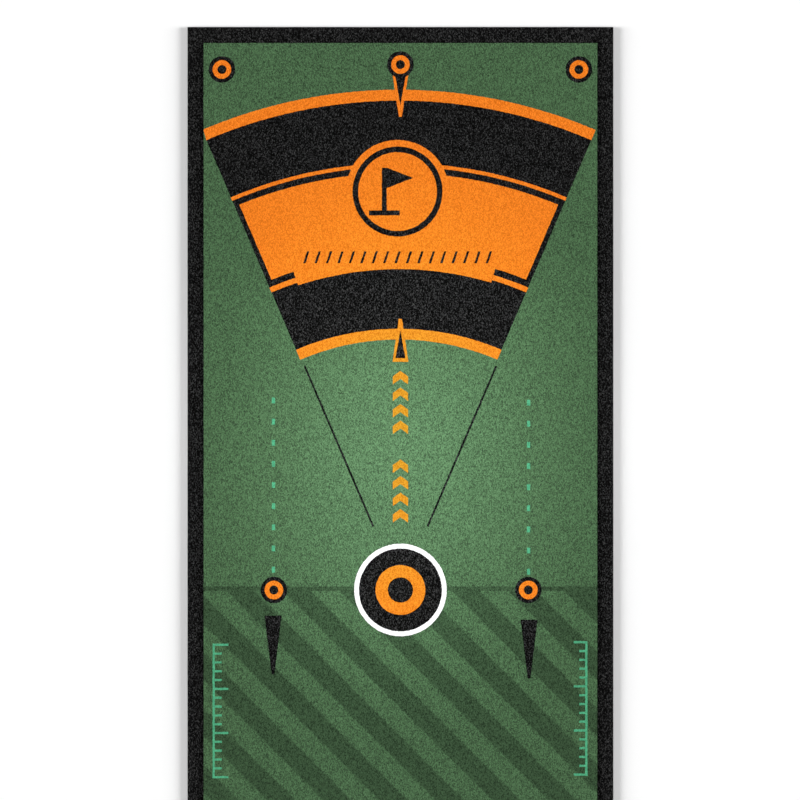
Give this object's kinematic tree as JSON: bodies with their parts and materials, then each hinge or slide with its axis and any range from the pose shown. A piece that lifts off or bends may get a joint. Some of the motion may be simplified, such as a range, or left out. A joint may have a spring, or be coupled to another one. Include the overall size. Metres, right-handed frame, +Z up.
{
  "type": "practice putting mat",
  "caption": "Long flat putting mat: cut pile on a rubber sheet with rubber edges, printed with a hole target, aiming needles, dots and a stepped fan behind the hole.",
  "frame": {"origin": "middle of the mat's footprint, on the floor under the rubber sheet", "axes": "+X to the player's right, +Y along the mat from the foot end to the head end, where the fan is, +Z up, through the pile"},
  "size_m": [0.5, 3, 0.0055],
  "materials": {
    "nitrile_rubber": "matt moulded rubber with a fine grain, studs on the underside",
    "backing_cloth": "plain needled cloth, hidden under the pile",
    "green_pile": "short cut pile, green, lighter round the hole, with darker diagonal stripes on the player's side",
    "orange_pile": "short cut pile, orange",
    "black_pile": "short cut pile, black with a grey speckle",
    "white_pile": "short cut pile, white"
  },
  "bodies": {
    "root": {"rubber_base_sheet": "nitrile_rubber", "rubber_edge_left": "nitrile_rubber", "rubber_edge_right": "nitrile_rubber", "rubber_edge_head": "nitrile_rubber", "rubber_edge_foot": "nitrile_rubber", "primary_cloth": "backing_cloth", "pile_green_field": "green_pile", "pile_green_head": "green_pile", "dot_head_centre_centre_black": "black_pile", "dot_head_centre_rim_black": "black_pile", "dot_head_centre_ring_orange": "orange_pile", "dot_head_left_centre_black": "black_pile", "dot_head_left_rim_black": "black_pile", "dot_head_left_ring_orange": "orange_pile", "dot_head_right_centre_black": "black_pile", "dot_head_right_rim_black": "black_pile", "dot_head_right_ring_orange": "orange_pile", "dot_hole_left_centre_black": "black_pile", "dot_hole_left_rim_black": "black_pile", "dot_hole_left_ring_orange": "orange_pile", "dot_hole_right_centre_black": "black_pile", "dot_hole_right_rim_black": "black_pile", "dot_hole_right_ring_orange": "orange_pile", "dot_start_centre_black": "black_pile", "dot_start_rim_black": "black_pile", "dot_start_ring_orange": "orange_pile", "emblem_disc_orange": "orange_pile", "emblem_flag_black": "black_pile", "emblem_ring_black": "black_pile", "fan_bracket_left_black": "black_pile", "fan_bracket_right_black": "black_pile", "fan_inner_band_orange": "orange_pile", "fan_lower_band_black": "black_pile", "fan_outer_band_orange": "orange_pile", "fan_panel_orange": "orange_pile", "fan_upper_band_black": "black_pile", "field_needle_black": "black_pile", "head_needle_black": "black_pile", "hole_centre_black": "black_pile", "hole_rim_white": "white_pile", "hole_ring_black": "black_pile", "hole_ring_orange": "orange_pile", "sight_line_left": "black_pile", "sight_line_right": "black_pile", "wedge_left": "black_pile", "wedge_right": "black_pile"}
  },
  "joints": []
}
